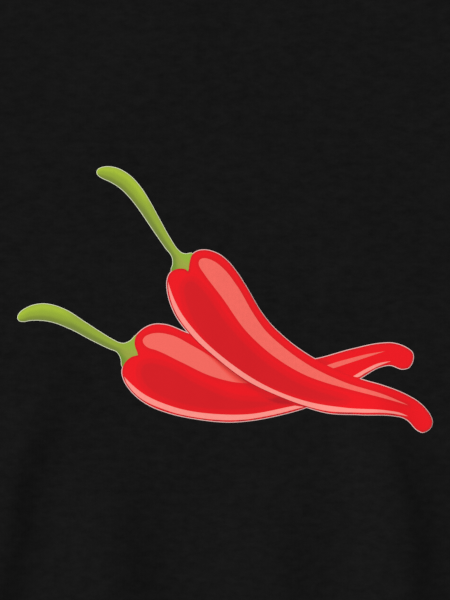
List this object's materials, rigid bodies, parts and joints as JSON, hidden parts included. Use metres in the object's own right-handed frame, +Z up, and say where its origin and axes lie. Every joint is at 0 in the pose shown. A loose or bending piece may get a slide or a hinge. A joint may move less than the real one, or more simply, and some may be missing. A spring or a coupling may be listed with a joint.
{
  "type": "t-shirt",
  "caption": "Black short-sleeved crew-neck T-shirt, laid flat with its front up, with crossed red chili peppers printed across the chest.",
  "frame": {"origin": "on the surface that the shirt lies on, under the middle of its outline", "axes": "+X to the right as one looks down on the printed front, +Y from the hem to the collar, +Z up out of the front"},
  "size_m": [0.8296, 0.7223, 0.0119],
  "materials": {
    "black_jersey": "matt fine cotton jersey",
    "black_rib": "matt 1x1 rib knit",
    "black_tape": "woven herringbone tape",
    "ink_white": "soft screen ink",
    "ink_red": "soft screen ink",
    "ink_dark_red": "soft screen ink",
    "ink_light_red": "soft screen ink",
    "ink_pink": "soft screen ink",
    "ink_green": "soft screen ink"
  },
  "bodies": {
    "root": {"front_panel": "black_jersey", "back_panel": "black_jersey", "sleeve_right": "black_jersey", "sleeve_left": "black_jersey", "collar_rib": "black_rib", "neck_tape": "black_tape", "print_white_base": "ink_white", "print_upper_stem": "ink_green", "print_lower_stem": "ink_green", "print_lower_pepper": "ink_red", "print_lower_light": "ink_light_red", "print_lower_dark": "ink_dark_red", "print_lower_edge": "ink_pink", "print_tip_streak": "ink_light_red", "print_tip_edge": "ink_pink", "print_upper_pepper": "ink_red", "print_upper_light": "ink_light_red", "print_upper_dark": "ink_dark_red", "print_upper_edge": "ink_pink"}
  },
  "joints": []
}
